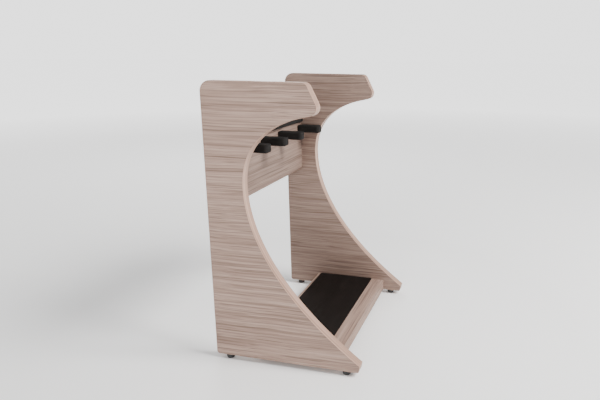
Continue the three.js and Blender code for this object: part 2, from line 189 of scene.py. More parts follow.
def rounded_rectangle(half_u, half_v, radius, steps=5, hold=0.0004):
    """Closed ring of [u, v] points: a quarter circle at each corner, and a holding point a
    short way along the side before and after it, so that the flat sides shade flat."""
    angles = np.linspace(0.0, math.pi / 2, steps + 1)
    arc = radius * np.stack([np.cos(angles), np.sin(angles)], axis=1)
    before = arc[:1] - [0.0, hold]
    after = arc[-1:] - [hold, 0.0]
    corner = np.concatenate([before, arc, after])
    inner = np.array([half_u - radius, half_v - radius])
    quarter_turns = [np.array([[1, 0], [0, 1]]), np.array([[0, 1], [-1, 0]])]
    quarter_turns.append(-quarter_turns[0])
    quarter_turns.append(-quarter_turns[1])
    centres = inner * np.array([[1, 1], [-1, 1], [-1, -1], [1, -1]])
    return np.concatenate([corner @ turn + at for turn, at in zip(quarter_turns, centres)])


def surface(name, grid, wrap_rows=False, uv=None):
    """Mesh object over a grid of points. Neighbouring points in a row and in a column are
    joined by quads, each row closes on itself, and either the last row joins the first or
    the end rows are closed by a fan to their middle point."""
    rows, columns = grid.shape[:2]
    index = np.arange(rows * columns).reshape(rows, columns)
    ahead = np.roll(index, -1, axis=1)
    if wrap_rows:
        low, high = index, np.roll(index, -1, axis=0)
        low_ahead, high_ahead = ahead, np.roll(ahead, -1, axis=0)
    else:
        low, high = index[:-1], index[1:]
        low_ahead, high_ahead = ahead[:-1], ahead[1:]
    quads = np.stack([low, low_ahead, high_ahead, high], axis=-1).reshape(-1, 4)
    points = grid.reshape(-1, 3)
    faces = quads.tolist()
    triangles = np.concatenate([quads[:, [0, 1, 2]], quads[:, [0, 2, 3]]])
    if not wrap_rows:
        ends = np.stack([grid[0].mean(axis=0), grid[-1].mean(axis=0)])
        first = np.full(columns, len(points))
        fans = np.concatenate([
            np.stack([ahead[0], index[0], first], axis=1),
            np.stack([index[-1], ahead[-1], first + 1], axis=1),
        ])
        points = np.concatenate([points, ends])
        faces += fans.tolist()
        triangles = np.concatenate([triangles, fans])
    a, b, c = (points[triangles[:, i]] for i in range(3))
    inside_out = np.einsum("ij,ij->i", a, np.cross(b, c)).sum() < 0
    mesh = bpy.data.meshes.new(name)
    mesh.from_pydata(points, [], faces)
    if uv is not None:
        spread = mesh.uv_layers.new(name="Grain").data
        spread.foreach_set("uv", uv.reshape(-1).astype(np.float32))
    if inside_out:
        mesh.flip_normals()
    mesh.shade_smooth()
    piece = bpy.data.objects.new(name, mesh)
    bpy.context.scene.collection.objects.link(piece)
    return piece


def place(ring, axes, at):
    """A ring of [u, v] points put into space: u and v run along the two named axes, and
    the third coordinate is given, with the ring's centre at the point `at`."""
    points = np.tile(np.asarray(at, float), (len(ring), 1))
    for column, axis in enumerate(axes):
        points[:, axis] += ring[:, column]
    return points


def eased(radius, steps=5):
    """Distances from an end face and the shrink of the section there, for an end rounded
    by a quarter circle: shrink = radius - sqrt(radius^2 - (radius - distance)^2)."""
    distance = radius * (1.0 - np.cos(np.linspace(0.0, math.pi / 2, steps + 1)))
    shrink = radius - np.sqrt(np.maximum(radius**2 - (radius - distance) ** 2, 0.0))
    return distance, shrink


def rounded_bar(name, low, high, along, radius, crown=None):
    """Bar between two corners with every edge rounded: a rounded rectangle carried along
    one axis, drawn in by a quarter circle at both ends. A crown moves section points."""
    low, high = np.asarray(low, float), np.asarray(high, float)
    middle, half = (low + high) / 2, (high - low) / 2
    axes = [axis for axis in range(3) if axis != along]
    distance, shrink = eased(radius * 0.98)
    stations = np.concatenate([low[along] + distance, high[along] - distance[::-1]])
    drawn = np.concatenate([shrink, shrink[::-1]])
    rings = []
    for station, inset in zip(stations, drawn):
        corner = max(radius - inset, 0.02 * radius)
        ring = rounded_rectangle(half[axes[0]] - inset, half[axes[1]] - inset, corner)
        at = middle.copy()
        at[along] = station
        points = place(ring, axes, at)
        rings.append(points if crown is None else crown(points))
    return surface(name, np.stack(rings))


def turned(name, profile, centre, around=48):
    """Turned shape about a vertical axis: each [radius, height] point becomes a circle,
    x = radius cos a and y = radius sin a."""
    angle = np.linspace(0.0, 2 * math.pi, around, endpoint=False)
    radius, height = np.asarray(profile, float).T
    grid = np.stack([
        centre[0] + np.outer(radius, np.cos(angle)),
        centre[1] + np.outer(radius, np.sin(angle)),
        np.repeat(height[:, None], around, axis=1) + centre[2],
    ], axis=-1)
    return surface(name, grid)


# ---- side panel outline ------------------------------------------------------------


def corner_arc(before, corner, after, radius, steps=24):
    """Points of the arc that rounds a corner between two straight edges: the centre lies
    on the corner's bisector, radius / sin(half the angle) away."""
    back = (before - corner) / np.linalg.norm(before - corner)
    ahead = (after - corner) / np.linalg.norm(after - corner)
    half = math.acos(float(back @ ahead)) / 2
    bisector = (back + ahead) / np.linalg.norm(back + ahead)
    centre = corner + bisector * radius / math.sin(half)
    start = corner + back * radius / math.tan(half) - centre
    turn = np.linspace(0.0, math.pi - 2 * half, steps + 1)
    side = np.array([-start[1], start[0]])
    return centre + np.outer(np.cos(turn), start) + np.outer(np.sin(turn), side)


def cubic(start, pull_a, pull_b, end, steps=120):
    """Cubic curve: (1-t)^3 a + 3(1-t)^2 t b + 3(1-t) t^2 c + t^3 d."""
    t = np.linspace(0.0, 1.0, steps + 1)[:, None]
    s = 1.0 - t
    return s**3 * start + 3 * s**2 * t * pull_a + 3 * s * t**2 * pull_b + t**3 * end


def panel_outline(o):
    """Closed outline of a side panel as [y, z] points with the rear edge at y = 0. It goes
    up the rear edge, over the arm, down the hollow front and back along the foot."""
    rear_bottom, rear_top = np.array([0.0, 0.0]), np.array([0.0, o.height])
    arm_nose = np.array([-o.arm_reach, o.height])
    arm_tip = np.array([-o.tip_reach, o.height - o.tip_drop])
    inward = np.array([math.cos(o.underside_angle), -math.sin(o.underside_angle)])
    underside_end = arm_tip + inward * (o.tip_reach - o.underside_reach) / inward[0]
    waist = np.array([-o.waist_reach, o.height - o.waist_drop])
    nose = np.array([-o.reach, o.foot_rise])
    toe = np.array([-o.reach + o.foot_undercut, 0.0])
    up_foot = np.array([math.cos(o.foot_angle), math.sin(o.foot_angle)])
    foot_end = nose + up_foot * o.foot_run
    up = np.array([0.0, 1.0])
    upper = cubic(underside_end, underside_end + inward * o.underside_pull,
                  waist + up * o.waist_pull_up, waist)
    lower = cubic(waist, waist - up * o.waist_pull_down,
                  foot_end + up_foot * o.foot_pull, foot_end, 180)
    return np.concatenate([
        corner_arc(toe, rear_bottom, rear_top, 10 * MM),
        corner_arc(rear_bottom, rear_top, arm_nose, 36 * MM),
        corner_arc(rear_top, arm_nose, arm_tip, 22 * MM),
        corner_arc(arm_nose, arm_tip, underside_end, 26 * MM),
        upper,
        lower[1:],
        corner_arc(foot_end, nose, toe, 4 * MM),
        corner_arc(nose, toe, rear_bottom, 7 * MM),
    ])


# ---- materials ---------------------------------------------------------------------


class Finish:
    """Node graph of one material; a node's inputs are given as values or as sockets."""

    def __init__(self, name, **shader):
        self.material = bpy.data.materials.new(name)
        self.material.use_nodes = True
        self.tree = self.material.node_tree
        self.shader = self.tree.nodes["Principled BSDF"]
        self.feed(self.shader, shader_inputs(shader))

    def feed(self, node, inputs):
        for key, value in inputs.items():
            socket = node.inputs[key]
            if isinstance(value, bpy.types.NodeSocket):
                self.tree.links.new(value, socket)
            else:
                socket.default_value = value

    def add(self, kind, inputs=None, output=0, **settings):
        node = self.tree.nodes.new("ShaderNode" + kind)
        for key, value in settings.items():
            setattr(node, key, value)
        self.feed(node, inputs or {})
        return node.outputs[output]

    def coordinates(self, uv=None):
        if uv:
            return self.add("UVMap", uv_map=uv)
        return self.add("TexCoord", output="Object")

    def stretched(self, vector, scale, turn=(0, 0, 0)):
        return self.add("Mapping", {"Vector": vector, "Scale": scale, "Rotation": turn})

    def noise(self, vector, scale=1.0, detail=3.0, rough=0.55, output=0):
        inputs = {"Vector": vector, "Scale": scale, "Detail": detail, "Roughness": rough}
        return self.add("TexNoise", inputs, output)

    def ramp(self, value, stops):
        node = self.tree.nodes.new("ShaderNodeValToRGB")
        elements = node.color_ramp.elements
        for position, shade in stops[1:-1]:
            elements.new(position).color = (*shade, 1.0)
        elements[0].position, elements[0].color = stops[0][0], (*stops[0][1], 1.0)
        elements[-1].position, elements[-1].color = stops[-1][0], (*stops[-1][1], 1.0)
        self.tree.links.new(value, node.inputs["Fac"])
        return node.outputs["Color"]

    def math(self, operation, a, b, clamp=False):
        return self.add("Math", {0: a, 1: b}, operation=operation, use_clamp=clamp)

    def band(self, value, low, high, to_low=0.0, to_high=1.0):
        inputs = {"Value": value, "From Min": low, "From Max": high,
                  "To Min": to_low, "To Max": to_high}
        return self.add("MapRange", inputs, clamp=True)

    def mix(self, factor, a, b):
        """Colour a where the factor is 0 and b where it is 1. A mix node holds its two
        colours in sockets 6 and 7, and gives the mixed colour from output 2."""
        node = self.tree.nodes.new("ShaderNodeMix")
        node.data_type = "RGBA"
        self.tree.links.new(factor, node.inputs[0])
        for socket, value in ((node.inputs[6], a), (node.inputs[7], b)):
            if isinstance(value, bpy.types.NodeSocket):
                self.tree.links.new(value, socket)
            else:
                socket.default_value = (*value, 1.0)
        return node.outputs[2]

    def surface(self, colour_socket, roughness, height, bump, distance):
        normal = self.add("Bump", {"Height": height, "Strength": bump, "Distance": distance})
        looks = {"Base Color": colour_socket, "Roughness": roughness, "Normal": normal}
        self.feed(self.shader, looks)
        return self.material


def shader_inputs(words):
    """Constant shader inputs from keywords such as metallic=1.0."""
    return {
        key.replace("_", " ").title().replace("Ior", "IOR"): value
        for key, value in words.items()
    }


def between(a, b, share):
    """Colour that lies this share of the way from a to b."""
    return [(1.0 - share) * low + share * high for low, high in zip(a, b)]


def scaled(tint, factor, lift=0.0):
    """Colour with each channel times a factor, and then raised by a lift."""
    return [channel * factor + lift for channel in tint]


def wood(name, grain_axis, palette, shade, seed):
    """Printed wood-grain laminate. Noise stretched along the grain gives broad bands,
    streaks, sparse fine lines darker or lighter than the ground, and short pores, all
    bent a little by a slow warp."""
    f = Finish(name, specular_ior_level=0.32)
    offset = (seed, seed * 1.7, seed * 0.6)
    place_at = f.add("Mapping", {"Vector": f.coordinates(), "Location": offset})
    warp = f.noise(f.stretched(place_at, (2.2, 2.2, 2.2)), 1.0, 2.0, 0.5, "Color")
    centred = f.add("VectorMath", {0: warp, 1: (0.5, 0.5, 0.5)}, operation="SUBTRACT")
    bent = f.add("VectorMath", {0: centred, 1: (0.02,) * 3, 2: place_at}, operation="MULTIPLY_ADD")

    def along(run, across, shift=0.0):
        scale = [across] * 3
        scale[grain_axis] = run
        return f.add("Mapping", {"Vector": bent, "Scale": scale, "Location": (shift,) * 3})

    broad = f.noise(along(0.8, 18.0), 1.0, 3.0, 0.6)
    streaks = f.noise(along(2.0, 130.0), 1.0, 4.0, 0.65)
    threads = f.noise(along(5.0, 430.0), 1.0, 3.0, 0.6)
    dark_lines = f.noise(along(2.6, 240.0, 3.7), 1.0, 2.0, 0.5)
    light_lines = f.noise(along(2.2, 200.0, 8.3), 1.0, 2.0, 0.5)
    pores = f.noise(along(22.0, 1100.0), 1.0, 1.0, 0.5)
    tone = f.math("ADD", f.math("MULTIPLY", streaks, 0.55), f.math("MULTIPLY", broad, 0.20))
    tone = f.math("ADD", tone, f.math("MULTIPLY", threads, 0.25))
    # The palette is scaled by the shade factor; for the right panel and the back board this
    # darkening is painted shade.
    dark, mid, light = (scaled(tint, shade) for tint in palette)
    grain = f.ramp(tone, [
        (0.34, dark),
        (0.44, between(dark, mid, 0.6)),
        (0.50, mid),
        (0.57, between(mid, light, 0.45)),
        (0.66, light),
    ])
    lifted = f.mix(f.band(light_lines, 0.57, 0.68, 0.0, 0.55), grain, light)
    drawn = f.mix(f.band(dark_lines, 0.56, 0.67, 0.0, 0.75), lifted, scaled(dark, 0.8))
    pore_mask = f.band(pores, 0.60, 0.72)
    coloured = f.mix(f.math("MULTIPLY", pore_mask, 0.35), drawn, scaled(mid, 0.55))
    roughness = f.band(streaks, 0.3, 0.7, 0.52, 0.68)
    height = f.math("SUBTRACT", f.math("MULTIPLY", threads, 0.5), pore_mask)
    return f.surface(coloured, roughness, height, 0.22, 0.00025)


def edge_band_finish(name, dark, light, uv):
    """Edge band: fine lines along its length, and long edges painted lighter as a painted highlight
    on the arrises, patchy by slow noise.
    """
    f = Finish(name, specular_ior_level=0.4)
    spread = f.coordinates(uv)
    lines = f.noise(f.stretched(spread, (3.0, 420.0, 1.0)), 1.0, 4.0, 0.6)
    drift = f.noise(f.stretched(spread, (1.6, 110.0, 1.0)), 1.0, 2.0, 0.5)
    tone = f.math("ADD", f.math("MULTIPLY", lines, 0.35), f.math("MULTIPLY", drift, 0.65))
    grain = f.ramp(tone, [(0.34, dark), (0.5, between(dark, light, 0.5)), (0.66, light)])
    across = f.add("SeparateXYZ", {"Vector": spread}, output="Y")
    # Painted highlight: the colour is lifted along the band's two long edges, broken up by slow
    # noise.
    edge = f.band(f.math("ABSOLUTE", across, 0.0), 0.0150, 0.0160)
    wear_and_highlight = f.math("MULTIPLY", edge, f.band(drift, 0.4, 0.6, 0.15, 0.6))
    coloured = f.mix(wear_and_highlight, grain, [min(channel * 1.25, 1.0) for channel in light])
    roughness = f.band(lines, 0.3, 0.7, 0.38, 0.52)
    return f.surface(coloured, roughness, lines, 0.12, 0.0002)


def plain_band_finish(name, dark, light):
    """Edge band of a straight board, with its fine lines along X."""
    f = Finish(name, specular_ior_level=0.4)
    at = f.coordinates()
    lines = f.noise(f.stretched(at, (3.0, 420.0, 420.0)), 1.0, 4.0, 0.6)
    drift = f.noise(f.stretched(at, (1.6, 110.0, 110.0)), 1.0, 2.0, 0.5)
    tone = f.math("ADD", f.math("MULTIPLY", lines, 0.35), f.math("MULTIPLY", drift, 0.65))
    grain = f.ramp(tone, [(0.34, dark), (0.5, between(dark, light, 0.5)), (0.66, light)])
    roughness = f.band(lines, 0.3, 0.7, 0.4, 0.55)
    return f.surface(grain, roughness, lines, 0.12, 0.0002)


def foam_finish(name, tint):
    """Closed-cell foam: small cells, a fine tooth and slow dusty patches."""
    f = Finish(name, specular_ior_level=0.15)
    at = f.coordinates()
    cells = f.add("TexVoronoi", {"Vector": at, "Scale": 900.0}, output="Distance")
    tooth = f.noise(at, 2600.0, 2.0, 0.6)
    patches = f.noise(at, 26.0, 4.0, 0.6)
    wear_and_highlight = f.math("MULTIPLY", f.band(patches, 0.42, 0.68), 0.5)
    speckled = f.math("ADD", wear_and_highlight, f.band(tooth, 0.55, 0.8, 0.0, 0.25), clamp=True)
    coloured = f.mix(speckled, tint, scaled(tint, 2.1, 0.004))
    height = f.math("ADD", f.math("MULTIPLY", cells, 0.7), f.math("MULTIPLY", tooth, 0.3))
    return f.surface(coloured, f.band(patches, 0.3, 0.7, 0.82, 0.95), height, 0.5, 0.0004)


def rubber_finish(name, tint):
    """Rubber mat with a fine pebbled face and faint scuffs."""
    f = Finish(name, specular_ior_level=0.1)
    at = f.coordinates()
    pebbles = f.add("TexVoronoi", {"Vector": at, "Scale": 520.0}, output="Distance")
    scuffs = f.noise(f.stretched(at, (9.0, 30.0, 9.0), (0, 0, 0.5)), 1.0, 5.0, 0.7)
    fine = f.noise(at, 1400.0, 2.0, 0.6)
    scuffed = f.band(scuffs, 0.52, 0.72, 0.0, 0.5)
    factor = f.math("ADD", scuffed, f.band(fine, 0.5, 0.8, 0.0, 0.2), clamp=True)
    coloured = f.mix(factor, tint, scaled(tint, 2.4, 0.003))
    height = f.math("ADD", pebbles, f.math("MULTIPLY", fine, 0.3))
    return f.surface(coloured, f.band(scuffs, 0.35, 0.7, 0.62, 0.8), height, 0.4, 0.0004)


def plastic_finish(name, tint):
    """Spark-textured moulded plastic, a little scuffed."""
    f = Finish(name, specular_ior_level=0.45)
    at = f.coordinates()
    spark = f.noise(at, 1800.0, 2.0, 0.6)
    scuffs = f.noise(at, 90.0, 5.0, 0.7)
    scuffed = f.band(scuffs, 0.52, 0.75, 0.0, 0.6)
    coloured = f.mix(scuffed, tint, scaled(tint, 2.6, 0.004))
    return f.surface(coloured, f.band(scuffs, 0.3, 0.7, 0.42, 0.6), spark, 0.3, 0.0002)


def metal_finish(name, tint, rough):
    """Plated metal with fine directional scratches and slight clouding."""
    f = Finish(name, metallic=1.0)
    at = f.coordinates()
    clouds = f.noise(at, 120.0, 3.0, 0.6)
    scratches = f.noise(f.stretched(at, (300.0, 300.0, 2600.0)), 1.0, 3.0, 0.6)
    coloured = f.mix(f.band(clouds, 0.35, 0.7), scaled(tint, 0.8), tint)
    roughness = f.band(scratches, 0.3, 0.7, rough - 0.08, rough + 0.12)
    return f.surface(coloured, roughness, scratches, 0.15, 0.0001)


def clothe(nodes, material):
    """Gives CAD nodes a material in every slot."""
    for name in nodes:
        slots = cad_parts[name].data.materials
        slots.clear()
        slots.append(material)


def dress(piece, material, slot, body, *replaced):
    """Material, body and replaced nodes of a new piece. The slot argument is not used."""
    piece.data.materials.append(material)
    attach(piece, body)
    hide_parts(*replaced)
    return piece


def settings():
    return bpy.context.scene.guitar_rack


def palette():
    c = settings().colours
    return tuple(c.wood_dark), tuple(c.wood_mid), tuple(c.wood_light)


# ---- operators ---------------------------------------------------------------------


class RACK_OT_stage(bpy.types.Operator):
    """Pale floor and backdrop, soft lights and the camera"""

    bl_idname = "guitar_rack.stage"
    bl_label = "Stage"

    def execute(self, context):
        low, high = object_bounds()
        self.floor(low.z)
        self.backdrop(low.z)
        self.lights((low + high) / 2)
        self.camera(context.scene)
        return {"FINISHED"}

    def floor(self, level):
        """Flat round floor: its rim is a circle, x = r cos a and y = r sin a. Far from
        the rack, where the lamps no longer reach, it glows as the backdrop does."""
        angle = np.linspace(0.0, 2 * math.pi, 96, endpoint=False)
        rim = FLOOR_RADIUS * np.stack([np.cos(angle), np.sin(angle)], axis=1)
        points = np.column_stack([rim, np.full(len(rim), level)])
        mesh = bpy.data.meshes.new("studio_floor")
        mesh.from_pydata(points, [], [list(range(len(points)))])
        f = Finish("studio_floor", specular_ior_level=0.1)
        tint = tuple(settings().colours.floor)
        slow = f.noise(f.coordinates(), 0.8, 2.0, 0.5)
        shade = f.mix(slow, tint, scaled(tint, 0.985))
        away = f.add("VectorMath", {0: f.coordinates()}, output="Value", operation="LENGTH")
        glow = f.band(away, GLOW_START, GLOW_END, 0.0, FLOOR_GLOW)
        f.feed(f.shader, {"Emission Color": (1.0, 1.0, 1.0, 1.0), "Emission Strength": glow})
        mesh.materials.append(f.surface(shade, 0.85, slow, 0.02, 0.001))
        floor = bpy.data.objects.new("studio_floor", mesh)
        bpy.context.scene.collection.objects.link(floor)
        floor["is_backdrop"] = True

    def backdrop(self, level):
        """Pale dome seen past the floor's rim, which throws no light and no shadow. With
        R its radius, the profile is R cos a and R sin a, from a little under the floor."""
        angle = np.linspace(0.0, 0.499 * math.pi, 24)
        profile = BACKDROP_RADIUS * np.stack([np.cos(angle), np.sin(angle)], axis=1)
        dome = turned("studio_backdrop", profile, (0.0, 0.0, level - BACKDROP_SINK), 96)
        shell = bpy.data.materials.new("studio_backdrop")
        shell.use_nodes = True
        glow = shell.node_tree.nodes["Principled BSDF"]
        glow.inputs["Base Color"].default_value = (0.0, 0.0, 0.0, 1.0)
        glow.inputs["Specular IOR Level"].default_value = 0.0
        glow.inputs["Emission Color"].default_value = (1.0, 1.0, 1.0, 1.0)
        glow.inputs["Emission Strength"].default_value = BACKDROP_GLOW
        dome.data.materials.append(shell)
        dome.visible_diffuse = False
        dome.visible_glossy = False
        dome.visible_transmission = False
        dome.visible_shadow = False
        dome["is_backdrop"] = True

    def lights(self, centre):
        world = bpy.context.scene.world or bpy.data.worlds.new("Studio")
        bpy.context.scene.world = world
        world.use_nodes = True
        background = world.node_tree.nodes["Background"]
        background.inputs["Color"].default_value = (1.0, 1.0, 1.0, 1.0)
        background.inputs["Strength"].default_value = WORLD_LIGHT
        for name, (offset, size, power, tint) in LAMPS.items():
            self.lamp(name, centre, offset, size, power, tint)

    def lamp(self, name, centre, offset, size, power, tint):
        data = bpy.data.lights.new(name, "AREA")
        data.shape = "DISK"
        data.size = size
        data.energy = power
        data.color = tint
        lamp = bpy.data.objects.new(name, data)
        bpy.context.scene.collection.objects.link(lamp)
        back = np.array(offset) / np.linalg.norm(offset)
        lamp.matrix_world = facing(back, np.array(centre) + np.array(offset))

    def camera(self, scene):
        """Camera off the rack's left side, a little in front and above. `back` points from
        what it faces towards it."""
        azimuth, elevation, roll = (math.radians(angle) for angle in CAMERA_ANGLES)
        back = np.array([
            math.sin(azimuth) * math.cos(elevation),
            -math.cos(azimuth) * math.cos(elevation),
            math.sin(elevation),
        ])
        data = bpy.data.cameras.new("view")
        data.sensor_width = 36.0
        data.lens = CAMERA_LENS
        data.shift_x, data.shift_y = CAMERA_SHIFT
        data.clip_start, data.clip_end = 0.01, 100.0
        camera = bpy.data.objects.new("view", data)
        scene.collection.objects.link(camera)
        camera.matrix_world = facing(back, CAMERA_PLACE, roll)
        scene.camera = camera


def facing(back, at, roll=0.0):
    """Placement whose +Z axis points back from what it faces, turned by a roll."""
    right = np.cross([0.0, 0.0, 1.0], back)
    right /= np.linalg.norm(right)
    up = np.cross(back, right)
    turned_right = math.cos(roll) * right + math.sin(roll) * up
    turned_up = math.cos(roll) * up - math.sin(roll) * right
    matrix = np.eye(4)
    matrix[:3] = np.column_stack([turned_right, turned_up, back, at])
    return Matrix(matrix.tolist())


class RACK_OT_side_panels(bpy.types.Operator):
    """Wood-grain laminate on the two side panels"""

    bl_idname = "guitar_rack.side_panels"
    bl_label = "Side panels"

    def execute(self, context):
        for side in SIDES:
            shade, seed = PANEL_PAINTED_SHADE_AND_SEED[side]
            # The right panel's laminate is darkened by its factor: painted shade.
            grain = wood(f"panel_laminate_{side}", 1, palette(), shade, seed)
            clothe([f"side_panel_{side}"], grain)
        return {"FINISHED"}


class RACK_OT_edge_bands(bpy.types.Operator):
    """Edge band round each side panel"""

    bl_idname = "guitar_rack.edge_bands"
    bl_label = "Edge bands"

    def execute(self, context):
        c, o = settings().colours, settings().outline
        finish = edge_band_finish("edge_band", tuple(c.band_dark), tuple(c.band_light), "Grain")
        for side in SIDES:
            dress(self.sweep(side, o), finish, "edge_band", "frame", f"edge_band_{side}")
        return {"FINISHED"}

    def sweep(self, side, o):
        """Thin rounded rectangle carried round the panel's outline: each point lies on the
        outline, moved along the inward normal and across the panel's thickness."""
        low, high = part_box(f"edge_band_{side}")
        path = panel_outline(o)
        path[:, 0] += high.y
        path[:, 1] += low.z
        tangent = np.roll(path, -1, axis=0) - np.roll(path, 1, axis=0)
        tangent /= np.linalg.norm(tangent, axis=1, keepdims=True)
        inward = np.stack([-tangent[:, 1], tangent[:, 0]], axis=1)
        half = o.band_thickness / 2
        section = rounded_rectangle(half, (high.x - low.x) / 2, o.band_arris * 0.8, 4, 0.0001)
        depth = half - section[:, 0]
        across = section[:, 1]
        flat = path[:, None, :] + inward[:, None, :] * depth[None, :, None]
        x = np.broadcast_to((low.x + high.x) / 2 + across[None, :], flat.shape[:2])
        grid = np.concatenate([x[..., None], flat], axis=-1)
        return surface(f"edge_band_{side}_finish", grid, True, self.grain(path, across))

    def grain(self, path, across):
        """UV of each quad's corners: u is the distance along the outline, v across it."""
        steps = np.linalg.norm(np.roll(path, -1, axis=0) - path, axis=1)
        ends = np.cumsum(steps)
        starts = ends - steps
        nearby = np.roll(across, -1)
        rows, columns = len(path), len(across)
        uv = np.empty((rows, columns, 4, 2))
        uv[:, :, 0] = np.stack(np.broadcast_arrays(starts[:, None], across[None, :]), axis=-1)
        uv[:, :, 1] = np.stack(np.broadcast_arrays(starts[:, None], nearby[None, :]), axis=-1)
        uv[:, :, 2] = np.stack(np.broadcast_arrays(ends[:, None], nearby[None, :]), axis=-1)
        uv[:, :, 3] = np.stack(np.broadcast_arrays(ends[:, None], across[None, :]), axis=-1)
        return uv


class RACK_OT_boards(bpy.types.Operator):
    """Base board and back board with their edge bands"""

    bl_idname = "guitar_rack.boards"
    bl_label = "Boards"

    def execute(self, context):
        c = settings().colours
        clothe(["base_board"], wood("base_laminate", 0, palette(), BASE_BOARD_SHADE, 7.4))
        # The back board's laminate is darkened: painted shade.
        clothe(["back_board"], wood("back_laminate_painted_shade", 0, palette(), BACK_BOARD_PAINTED_SHADE, 9.2))
        front = wood("base_front_laminate", 0, palette(), 1.0, 11.0)
        band = plain_band_finish("board_band", tuple(c.band_dark), tuple(c.band_light))
        looks = {
            "base_band_front": (front, "board_laminate"),
            "base_band_rear": (band, "edge_band"),
            "back_band_top": (band, "edge_band"),
            "back_band_bottom": (band, "edge_band"),
        }
        for node, (finish, slot) in looks.items():
            low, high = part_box(node)
            piece = rounded_bar(f"{node}_finish", low, high, 0, 0.45 * MM)
            dress(piece, finish, slot, "frame", node)
        return {"FINISHED"}


class RACK_OT_fingers(bpy.types.Operator):
    """Foam covers, cores and screws of the neck fingers"""

    bl_idname = "guitar_rack.fingers"
    bl_label = "Neck fingers"

    def execute(self, context):
        foam = foam_finish("finger_foam", tuple(settings().colours.foam))
        for number in FINGERS:
            cover = self.cover(number, settings().soft)
            dress(cover, foam, "foam", "frame", f"finger_foam_{number}")
        beech = wood("beech", 1, BEECH, 1.0, 2.0)
        clothe([f"finger_core_{number}" for number in FINGERS], beech)
        steel = metal_finish("screw_zinc", (0.66, 0.66, 0.64), 0.34)
        clothe([f"finger_screw_{number}" for number in FINGERS], steel)
        return {"FINISHED"}

    def cover(self, number, s):
        """Rounded rectangles carried from the tip to the back board, then back inside as
        the pocket of the core. At the tip the section is drawn in by quarter circles, a
        wide one seen from above and a small one seen from the side, and between tip and
        board the sides swell and sink by a fraction of a millimetre."""
        low, high = (np.array(corner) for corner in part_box(f"finger_foam_{number}"))
        middle, half = (low + high) / 2, (high - low) / 2
        near = np.linspace(0.0, math.pi / 2, 12)
        distance = s.tip_radius * (1.0 - np.cos(near))
        body = np.linspace(s.tip_radius, 2 * half[1] - 0.002, 26)[1:]
        tail = 2 * half[1] - np.array([0.0012, 0.0005, 0.0])
        reach = np.concatenate([distance, body, tail])
        rings = []
        for along in reach:
            sides = quarter_shrink(along, s.tip_radius)
            levels = quarter_shrink(along, s.edge_radius)
            sway = 0.00035 * math.sin(along * 95.0 + number * 1.9) - 0.0004
            pinch = 0.0008 * math.exp(-((2 * half[1] - along) / 0.0012) ** 2)
            u = half[0] - sides + min(sway, 0.0) - pinch
            v = half[2] - levels + min(sway, 0.0) * 0.8 - pinch
            ring = rounded_rectangle(u, v, min(s.edge_radius, u * 0.9, v * 0.9), 7)
            rings.append(place(ring, (0, 2), (middle[0], low[1] + along, middle[2])))
        for along in (2 * half[1], s.wall + 0.0004):
            u, v = half[0] - s.wall, half[2] - s.wall
            ring = rounded_rectangle(u, v, 0.0006, 7)
            rings.append(place(ring, (0, 2), (middle[0], low[1] + along, middle[2])))
        return surface(f"finger_foam_{number}_finish", np.stack(rings))


def quarter_shrink(along, radius):
    """How far a quarter circle of this radius draws a side in, at a distance from the end:
    radius - sqrt(radius^2 - (radius - distance)^2), and nothing past the radius."""
    rest = max(radius - along, 0.0)
    return radius - math.sqrt(max(radius**2 - rest**2, 0.0))


class RACK_OT_neck_strip(bpy.types.Operator):
    """Foam strip on the back board that the necks lean on"""

    bl_idname = "guitar_rack.neck_strip"
    bl_label = "Neck strip"

    def execute(self, context):
        s = settings().soft
        low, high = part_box("neck_bumper")
        middle_z, half_z = (low.z + high.z) / 2, (high.z - low.z) / 2

        def crown(points):
            """Front face swells forwards as 1 - (height / half height)^2, less a little
            slow waviness along X."""
            front = points[:, 1] < (low.y + high.y) / 2
            level = (points[:, 2] - middle_z) / half_z
            wave = 0.25 * np.sin(points[:, 0] * 31.0) + 0.15 * np.sin(points[:, 0] * 73.0 + 1.0)
            swell = s.strip_crown * (np.clip(1.0 - level**2, 0.0, 1.0) * (0.6 + wave) - 0.2)
            points[:, 1] -= np.where(front, swell, 0.0)
            return points

        strip = self.strip(low, high, s.strip_radius, crown)
        foam = foam_finish("strip_foam", tuple(settings().colours.foam))
        dress(strip, foam, "foam", "frame", "neck_bumper")
        return {"FINISHED"}

    def strip(self, low, high, radius, crown):
        """Rounded section carried along X in short steps, so that the crown can vary, and
        drawn in by a quarter circle at both ends."""
        middle = np.array((low + high) / 2)
        half_y, half_z = (high.y - low.y) / 2, (high.z - low.z) / 2
        distance, shrink = eased(radius * 0.98)
        inner = np.linspace(low.x + 0.01, high.x - 0.01, 120)
        stations = np.concatenate([low.x + distance, inner, high.x - distance[::-1]])
        drawn = np.concatenate([shrink, np.zeros(len(inner)), shrink[::-1]])
        rings = []
        for station, inset in zip(stations, drawn):
            corner = max(radius - inset, 0.02 * radius)
            ring = tall_ring(half_y - inset, half_z - inset, corner)
            rings.append(crown(place(ring, (1, 2), (station, middle[1], middle[2]))))
        return surface("neck_bumper_finish", np.stack(rings))


def tall_ring(half_u, half_v, radius, extra=10):
    """Rounded rectangle with extra points up its two long sides, evenly spaced."""
    ring = rounded_rectangle(half_u, half_v, radius)
    quarter = len(ring) // 4
    up = np.linspace(1.0, -1.0, extra + 2)[1:-1] * (half_v - radius - 0.001)
    left = np.stack([np.full(extra, -half_u), up], axis=1)
    right = np.stack([np.full(extra, half_u), -up], axis=1)
    return np.concatenate([ring[: 2 * quarter], left, ring[2 * quarter:], right])


